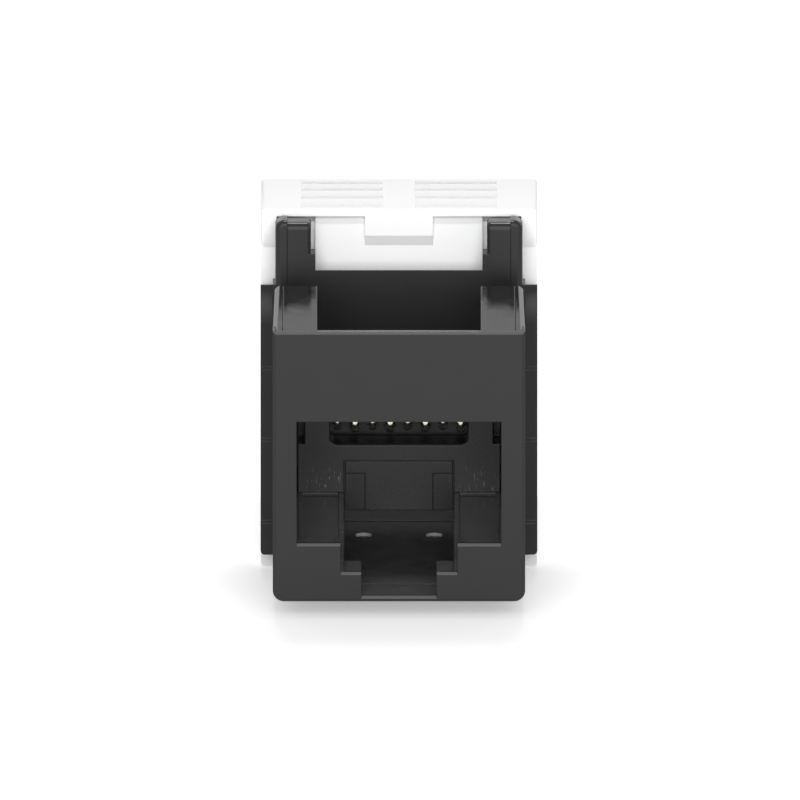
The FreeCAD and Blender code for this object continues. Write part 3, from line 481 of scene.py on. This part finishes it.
def drawn_metal(name, base, roughness, stretch):
    """Plated metal with fine lines along the way it was drawn or rolled."""
    material, tree, shader, place = blank_material(name)
    lines = noise(tree, place, 0.05 * MM, 3.0, stretch)
    cloud = noise(tree, place, 0.9 * MM, 2.0)
    tint(tree, shader, cloud, base, 0.93, 1.04)
    shader.inputs["Metallic"].default_value = 1.0
    rough = spread(tree, lines, roughness - 0.05, roughness + 0.08)
    tree.links.new(rough, shader.inputs["Roughness"])
    bump(tree, shader, lines, 0.003 * MM, 0.35)
    return material


def board_lacquer(metals):
    """Green lacquer over tracks on the faces, bare laminate on the sawn edge."""
    material, tree, shader, place = blank_material("board_lacquer")
    x = axes(tree, place)[0]
    wander = spread(tree, noise(tree, place, 4.0 * MM, 1.0), -0.25, 0.25)
    across = maths(tree, "ADD", maths(tree, "DIVIDE", x, metals.track_pitch), wander)
    track = inside(tree, maths(tree, "FRACT", across), 0.3, 0.62, 0.05)
    face = above(tree, maths(tree, "ABSOLUTE", facing(tree)[2]), 0.5, 0.6)
    lacquer = ramp(tree, track, metals.mask, 1.0, 1.9)
    weave = noise(tree, place, 0.15 * MM, 2.0, (1, 1, 3))
    sawn = ramp(tree, weave, metals.laminate, 0.75, 1.1)
    tree.links.new(mix_colours(tree, face, sawn, lacquer), shader.inputs["Base Color"])
    tree.links.new(mix_values(tree, face, 0.75, 0.24), shader.inputs["Roughness"])
    bump(tree, shader, track, 0.02 * MM, 0.5)
    return material


# --- solder joints --------------------------------------------------------------------------------
def geometry_tree(name, inputs):
    """A geometry node group with an output and named inputs."""
    group = bpy.data.node_groups.new(name, "GeometryNodeTree")
    group.interface.new_socket("Geometry", in_out="OUTPUT", socket_type="NodeSocketGeometry")
    for label, kind, value in inputs:
        socket = group.interface.new_socket(label, in_out="INPUT", socket_type="NodeSocket" + kind)
        socket.default_value = value
    start = group.nodes.new("NodeGroupInput")
    end = group.nodes.new("NodeGroupOutput")
    return group, start, end


def geometry_node(group, kind, values, **attributes):
    """A node of a geometry tree, with its input values by name or number and its attributes."""
    made = group.nodes.new(kind)
    for key, value in attributes.items():
        setattr(made, key, value)
    feed(group, made, values)
    return made


def joint_bell(group, given):
    """One solder joint: a cone whose sides are drawn in halfway up."""
    cone = geometry_node(group, "GeometryNodeMeshCone", {
        "Vertices": 20, "Side Segments": 4, "Fill Segments": 1, "Radius Top": given["Top Radius"],
        "Radius Bottom": given["Foot Radius"], "Depth": given["Height"]})
    where = group.nodes.new("GeometryNodeInputPosition").outputs[0]
    height = geometry_node(group, "ShaderNodeSeparateXYZ", {"Vector": where}).outputs["Z"]
    rise = geometry_node(group, "ShaderNodeMath", {0: height, 1: given["Height"]},
                         operation="DIVIDE").outputs[0]
    sag = geometry_node(group, "ShaderNodeMath", {0: rise, 1: 0.5}, operation="PINGPONG").outputs[0]
    waist = geometry_node(group, "ShaderNodeMath", {0: sag, 1: -0.35, 2: 1.0},
                          operation="MULTIPLY_ADD").outputs[0]
    scale = geometry_node(group, "ShaderNodeCombineXYZ", {"X": waist, "Y": waist, "Z": 1.0})
    drawn_in = geometry_node(group, "ShaderNodeVectorMath", {0: where, 1: scale.outputs[0]},
                             operation="MULTIPLY")
    return geometry_node(group, "GeometryNodeSetPosition", {
        "Geometry": cone.outputs["Mesh"], "Position": drawn_in.outputs[0]}).outputs[0]


def joint_tree(material):
    """Solder joints at the points of a line, with a second row set off from it."""
    group, start, end = geometry_tree("solder_joints", [
        ("First", "Vector", (0, 0, 0)), ("Step", "Vector", (0, 0, 0)),
        ("Second Row", "Vector", (0, 0, 0)), ("Count", "Int", 4),
        ("Foot Radius", "Float", 0.5 * MM), ("Top Radius", "Float", 0.2 * MM),
        ("Height", "Float", 0.2 * MM)])
    given = start.outputs
    line = geometry_node(group, "GeometryNodeMeshLine", {
        "Count": given["Count"], "Start Location": given["First"], "Offset": given["Step"]},
        mode="OFFSET").outputs[0]
    other = geometry_node(group, "GeometryNodeTransform", {
        "Geometry": line, "Translation": given["Second Row"]}).outputs[0]
    points = group.nodes.new("GeometryNodeJoinGeometry")
    for row in (line, other):
        group.links.new(row, points.inputs[0])
    copies = geometry_node(group, "GeometryNodeInstanceOnPoints", {
        "Points": points.outputs[0], "Instance": joint_bell(group, given)})
    real = geometry_node(group, "GeometryNodeRealizeInstances", {"Geometry": copies.outputs[0]})
    smooth = geometry_node(group, "GeometryNodeSetShadeSmooth", {"Geometry": real.outputs[0]})
    coated = geometry_node(group, "GeometryNodeSetMaterial", {
        "Geometry": smooth.outputs[0], "Material": material})
    group.links.new(coated.outputs[0], end.inputs[0])
    return group


def grown(name, group, values):
    """Run a geometry tree with the given inputs and keep its result as a plain mesh."""
    seed = bpy.data.objects.new(name + "_seed", bpy.data.meshes.new(name + "_seed"))
    bpy.context.scene.collection.objects.link(seed)
    modifier = seed.modifiers.new("nodes", "NODES")
    modifier.node_group = group
    for item in group.interface.items_tree:
        if item.in_out == "INPUT" and item.name in values:
            modifier[item.identifier] = values[item.name]
    bpy.context.view_layer.update()
    evaluated = seed.evaluated_get(bpy.context.evaluated_depsgraph_get())
    mesh = bpy.data.meshes.new_from_object(evaluated)
    bpy.data.objects.remove(seed)
    mesh.name = name
    return mesh


def turned_over(level):
    """A matrix that mirrors a mesh downwards from a level."""
    return Matrix.Translation((0, 0, level)) @ Matrix.Diagonal((1, 1, -1, 1))


def solder_rows(metals, material):
    """A solder joint under the board at every blade, as one mesh."""
    first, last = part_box(TERMINALS[0]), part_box(TERMINALS[-1])
    start, finish = (first[0] + first[1]) / 2, (last[0] + last[1]) / 2
    rows = len(TERMINALS) // 2
    mesh = grown("terminal_solder", joint_tree(material), {
        "First": (start.x, start.y, 0), "Step": (0, (finish.y - start.y) / (rows - 1), 0),
        "Second Row": (finish.x - start.x, 0, 0), "Count": rows,
        "Foot Radius": metals.solder_foot, "Top Radius": metals.solder_top,
        "Height": metals.solder_height})
    mesh.transform(turned_over(BOARD_UNDERSIDE))
    mesh.flip_normals()
    return mesh


# --- web under the lip ----------------------------------------------------------------------------
def web_section(cove):
    """The web's outline from the side, with a hollow round where its face meets the lip."""
    low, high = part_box("flip_cap")
    front, top = low.y + WEB_SETBACK, high.z - WEB_DROP
    back, foot = front + WEB_DEPTH, top - WEB_TALL
    section = [(back, foot), (front, foot)]
    for step in range(COVE_STEPS + 1):
        turn = math.radians(90 * step / COVE_STEPS)
        section.append((front - cove * (1 - math.cos(turn)), top - cove * (1 - math.sin(turn))))
    return section + [(back, top)]


def web_mesh(section):
    """The section drawn across the cap as a closed form."""
    count = len(section)
    points = [(side * WEB_HALF, y, z) for side in (-1, 1) for y, z in section]
    faces = [(i, (i + 1) % count, count + (i + 1) % count, count + i) for i in range(count)]
    faces += [tuple(reversed(range(count))), tuple(range(count, 2 * count))]
    mesh = bpy.data.meshes.new("skirt_web")
    mesh.from_pydata(points, [], faces)
    form = bmesh.new()
    form.from_mesh(mesh)
    bmesh.ops.recalc_face_normals(form, faces=form.faces)
    form.to_mesh(mesh)
    form.free()
    return mesh


# --- floor, light and camera ----------------------------------------------------------------------
def seen_directly(tree):
    """One for what the camera or a mirror sees, and nought for what lights the jack."""
    path = add_node(tree, "LightPath").outputs
    mirrored = maths(tree, "MAXIMUM", path["Is Glossy Ray"], path["Is Transmission Ray"])
    return maths(tree, "MAXIMUM", path["Is Camera Ray"], mirrored)


def lay_floor(stage):
    """A wide floor under the jack that glows a little for the camera, so that it reads as white."""
    mesh = bpy.data.meshes.new("floor")
    signs = ((-1, -1), (1, -1), (1, 1), (-1, 1))
    corners = [(x * FLOOR_REACH, y * FLOOR_REACH, 0) for x, y in signs]
    mesh.from_pydata(corners, [], [(0, 1, 2, 3)])
    floor = bpy.data.objects.new("floor", mesh)
    bpy.context.scene.collection.objects.link(floor)
    material, tree, shader, place = blank_material("floor_paint")
    tint(tree, shader, noise(tree, place, FLOOR_CLOUD), stage.floor, 0.995, 1.005)
    shader.inputs["Roughness"].default_value = 0.9
    shader.inputs["Specular IOR Level"].default_value = 0.1
    glow = product(tree, seen_directly(tree), stage.floor_glow)
    tree.links.new(glow, shader.inputs["Emission Strength"])
    shader.inputs["Emission Color"].default_value = (1, 1, 1, 1)
    mesh.materials.append(material)


def light_room(context, stage):
    """Even white light from all round; the camera and mirrors see plain white."""
    world = bpy.data.worlds.new("room")
    context.scene.world = world
    world.use_nodes = True
    tree = world.node_tree
    tree.nodes.clear()
    output = tree.nodes.new("ShaderNodeOutputWorld")
    sky = tree.nodes.new("ShaderNodeBackground")
    strength = mix_values(tree, seen_directly(tree), stage.room, 1.0)
    tree.links.new(strength, sky.inputs["Strength"])
    sky.inputs["Color"].default_value = (1, 1, 1, 1)
    tree.links.new(sky.outputs[0], output.inputs["Surface"])


def aimed(thing, target):
    """Turn a lamp or a camera so that it looks at a point."""
    thing.rotation_euler = (Vector(target) - thing.location).to_track_quat("-Z", "Y").to_euler()


def soft_lamp(name, place, target, size, watts):
    """A square soft lamp."""
    lamp = bpy.data.lights.new(name, "AREA")
    lamp.shape = "SQUARE"
    lamp.size = size
    lamp.energy = watts
    thing = bpy.data.objects.new(name, lamp)
    bpy.context.scene.collection.objects.link(thing)
    thing.location = place
    aimed(thing, target)


def set_camera(context, stage):
    """A camera without perspective in front of the bezel, a little above it."""
    camera = bpy.data.cameras.new("camera")
    camera.type = "ORTHO"
    camera.ortho_scale = stage.view_width
    camera.clip_start = 0.01
    camera.clip_end = 5
    thing = bpy.data.objects.new("camera", camera)
    context.scene.collection.objects.link(thing)
    tilt = stage.elevation
    up = Vector((0, math.sin(tilt), math.cos(tilt)))
    back = Vector((0, -math.cos(tilt), math.sin(tilt)))
    middle = Vector((stage.look_right, FACE_Y, 0)) + up * stage.look_up
    thing.location = middle + back * CAMERA_DISTANCE
    aimed(thing, middle)
    context.scene.camera = thing
    context.scene.view_settings.view_transform = "Standard"


# --- operators ------------------------------------------------------------------------------------
class JACK_OT_housing(bpy.types.Operator):
    """Black nylon on the front housing, with its polish, painted light and painted highlights"""
    bl_idname = "jack.housing"
    bl_label = "Front Housing"

    def execute(self, context):
        plastics = settings(context, "jack_plastics")
        give(["front_housing"], black_housing(plastics))
        return {"FINISHED"}


class JACK_OT_carrier(bpy.types.Operator):
    """Darker, glossier nylon on the contact carrier"""
    bl_idname = "jack.carrier"
    bl_label = "Contact Carrier"

    def execute(self, context):
        plastics = settings(context, "jack_plastics")
        give(["contact_carrier"], carrier_nylon(plastics))
        return {"FINISHED"}


class JACK_OT_shell(bpy.types.Operator):
    """White moulded plastic on the rear housing and the flip cap"""
    bl_idname = "jack.shell"
    bl_label = "White Shell"

    def execute(self, context):
        plastics = settings(context, "jack_plastics")
        give(SHELL_NODES, white_shell(plastics))
        return {"FINISHED"}


class JACK_OT_web(bpy.types.Operator):
    """The web in the corner under the cap's lip, in the cap's own finish"""
    bl_idname = "jack.web"
    bl_label = "Lip Web"

    def execute(self, context):
        plastics = settings(context, "jack_plastics")
        new_piece("skirt_web", web_mesh(web_section(plastics.cove)), "cap")
        give(["skirt_web"], NODES["flip_cap"].data.materials[0])
        return {"FINISHED"}


class JACK_OT_inserts(bpy.types.Operator):
    """Milkier plastic on the wire guide and the terminal block"""
    bl_idname = "jack.inserts"
    bl_label = "Wiring Inserts"

    def execute(self, context):
        plastics = settings(context, "jack_plastics")
        material = grainy_plastic("milky_insert", plastics.guide, plastics.white_roughness + 0.06,
                                  plastics.grain * 0.8, 0.02)[0]
        give(["wire_guide", "terminal_block"], material)
        return {"FINISHED"}


class JACK_OT_contacts(bpy.types.Operator):
    """Plated, drawn metal on the eight contact wires"""
    bl_idname = "jack.contacts"
    bl_label = "Contact Wires"

    def execute(self, context):
        metals = settings(context, "jack_metals")
        plated = drawn_metal("plated_wire", metals.contact, metals.contact_roughness, (1, 12, 1))
        give(WIRES, plated)
        return {"FINISHED"}


class JACK_OT_terminals(bpy.types.Operator):
    """Tinned, rolled metal on the insulation-displacement blades"""
    bl_idname = "jack.terminals"
    bl_label = "Terminals"

    def execute(self, context):
        metals = settings(context, "jack_metals")
        tinned = drawn_metal("tinned_blade", metals.terminal, metals.terminal_roughness, (1, 1, 9))
        give(TERMINALS, tinned)
        return {"FINISHED"}


class JACK_OT_board(bpy.types.Operator):
    """Lacquer on the circuit board, and a solder joint at every pin"""
    bl_idname = "jack.board"
    bl_label = "Board and Solder"

    def execute(self, context):
        metals = settings(context, "jack_metals")
        give(["circuit_board"], board_lacquer(metals))
        joints = new_piece("terminal_solder", solder_rows(metals, solder_finish(metals)), "jack")
        return {"FINISHED"}


class JACK_OT_stage(bpy.types.Operator):
    """Pale floor, even room light, an overhead and a front soft lamp, and the camera"""
    bl_idname = "jack.stage"
    bl_label = "Stage"

    def execute(self, context):
        stage = settings(context, "jack_stage")
        lay_floor(stage)
        light_room(context, stage)
        soft_lamp("overhead_lamp", OVERHEAD_PLACE, OVERHEAD_AIM, OVERHEAD_SIZE, stage.key_power)
        soft_lamp("front_lamp", FRONT_PLACE, FRONT_AIM, FRONT_SIZE, stage.fill_power)
        set_camera(context, stage)
        return {"FINISHED"}


class JACK_PT_panel(bpy.types.Panel):
    """The jack's pieces and its stage"""
    bl_idname = "JACK_PT_panel"
    bl_label = "Keystone Jack"
    bl_space_type = "VIEW_3D"
    bl_region_type = "UI"
    bl_category = "Jack"

    def draw(self, context):
        for maker in OPERATORS:
            self.layout.operator(maker.bl_idname)
        for name, group in GROUPS.items():
            box = self.layout.box()
            for key in group.__annotations__:
                box.prop(getattr(context.scene, name), key)


OPERATORS = (JACK_OT_housing, JACK_OT_carrier, JACK_OT_shell, JACK_OT_web, JACK_OT_inserts,
             JACK_OT_contacts, JACK_OT_terminals, JACK_OT_board, JACK_OT_stage)
GROUPS = {"jack_plastics": JackPlastics, "jack_metals": JackMetals, "jack_stage": JackStage}


def register():
    """Register the settings, the operators and the panel."""
    for maker in (*GROUPS.values(), *OPERATORS, JACK_PT_panel):
        bpy.utils.register_class(maker)
    for name, group in GROUPS.items():
        setattr(bpy.types.Scene, name, PointerProperty(type=group))


def unregister():
    """Undo what register does."""
    for name in GROUPS:
        delattr(bpy.types.Scene, name)
    for maker in (JACK_PT_panel, *reversed(OPERATORS), *GROUPS.values()):
        bpy.utils.unregister_class(maker)


def main():
    """Build the whole scene."""
    register()
    for thing in [o for o in bpy.data.objects if o.name in ("Cube", "Light", "Camera")]:
        bpy.data.objects.remove(thing)
    for maker in OPERATORS:
        group, name = maker.bl_idname.split(".")
        getattr(getattr(bpy.ops, group), name)()


if __name__ == "__main__":
    main()
